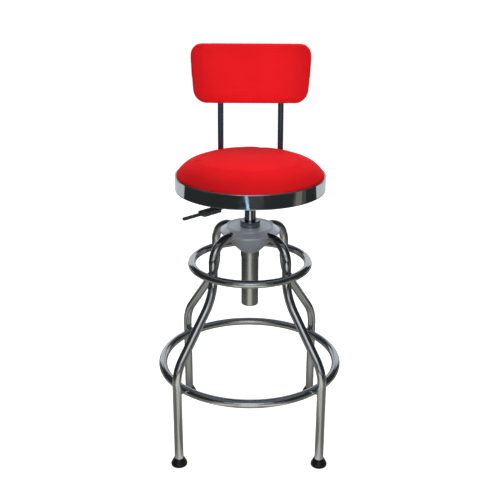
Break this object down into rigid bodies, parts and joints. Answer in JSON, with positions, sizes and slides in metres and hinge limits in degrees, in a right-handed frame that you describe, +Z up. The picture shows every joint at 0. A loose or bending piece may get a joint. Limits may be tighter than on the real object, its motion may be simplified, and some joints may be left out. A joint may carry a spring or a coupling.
{
  "type": "shop stool",
  "caption": "Shop stool with a round padded swivel seat on a gas-lift column, a padded backrest on two tubes, bent chrome legs and two rings.",
  "frame": {"origin": "on the floor, on the column axis", "axes": "+Z up, -Y to the front, +Y to the backrest, +X to the sitter's left"},
  "size_m": [0.4695, 0.4744, 0.9846],
  "materials": {
    "chrome": "polished chrome plate",
    "dark_chrome": "dark polished plate",
    "hub_grey": "satin silver grey",
    "satin_steel": "satin",
    "plain_steel": "bright zinc",
    "black_steel": "black paint",
    "aluminium": "turned",
    "brass": "turned",
    "black_rubber": "matte",
    "black_plastic": "fine grain",
    "white_nylon": "smooth",
    "plywood": "black-stained plywood",
    "red_vinyl": "smooth red vinyl over foam"
  },
  "bodies": {
    "base": {"leg_front_left": "chrome", "leg_front_right": "chrome", "leg_rear_right": "chrome", "leg_rear_left": "chrome", "foot_front_left": "black_rubber", "foot_front_right": "black_rubber", "foot_rear_right": "black_rubber", "foot_rear_left": "black_rubber", "upper_ring": "chrome", "foot_ring": "chrome", "hub_sleeve": "satin_steel", "hub_bell": "hub_grey", "hub_cap": "hub_grey", "base_tube": "satin_steel", "column_collar": "dark_chrome", "guide_bush": "white_nylon", "base_tube_floor": "plain_steel", "lower_thrust_washer": "plain_steel", "bearing_balls": "plain_steel", "bearing_cage": "brass"},
    "rod": {"piston_rod": "plain_steel", "rod_clip": "plain_steel", "upper_thrust_washer": "plain_steel", "bump_stop": "black_rubber", "piston": "aluminium", "piston_ring": "black_plastic"},
    "seat": {"pressure_cylinder": "chrome", "rod_guide": "aluminium", "rod_seal": "black_rubber", "valve_body": "brass", "seat_socket": "black_steel", "seat_plate": "black_steel", "seat_plate_screws": "plain_steel", "lever_bracket": "black_steel", "lever_pivot_pin": "plain_steel", "seat_band": "chrome", "seat_board": "plywood", "seat_pad": "red_vinyl", "upright_left": "dark_chrome", "upright_right": "dark_chrome", "upright_end_caps": "black_plastic", "upright_spacers": "black_plastic", "upright_bolts": "plain_steel", "upright_nuts": "plain_steel", "backrest_cover": "black_plastic", "backrest_board": "plywood", "backrest_pad": "red_vinyl", "backrest_screws": "plain_steel", "backrest_nuts": "plain_steel"},
    "lever": {"lever_rod": "black_steel", "lever_handle": "black_plastic"},
    "pin": {"release_pin": "plain_steel"}
  },
  "joints": [
    {"name": "seat_swivel", "type": "hinge", "parent": "base", "child": "rod", "pos_m": [0, 0, 0.379], "axis": [0, 0, 1], "continuous": true},
    {"name": "seat_lift", "type": "slide", "parent": "rod", "child": "seat", "axis": [0, 0, 1], "range_m": [0, 0.12]},
    {"name": "lever_lift", "type": "hinge", "parent": "seat", "child": "lever", "pos_m": [-0.01909, -0.01909, 0.657], "axis": [-0.7071, 0.7071, 0], "range_deg": [0, 6], "stiffness_Nm_per_rad": 0.6},
    {"name": "pin_press", "type": "slide", "parent": "seat", "child": "pin", "axis": [0, 0, -1], "range_m": [0, 0.0035]}
  ],
  "couplings": [
    {"joint": "pin_press", "follows": "lever_lift", "m_per_rad": 0.03}
  ]
}
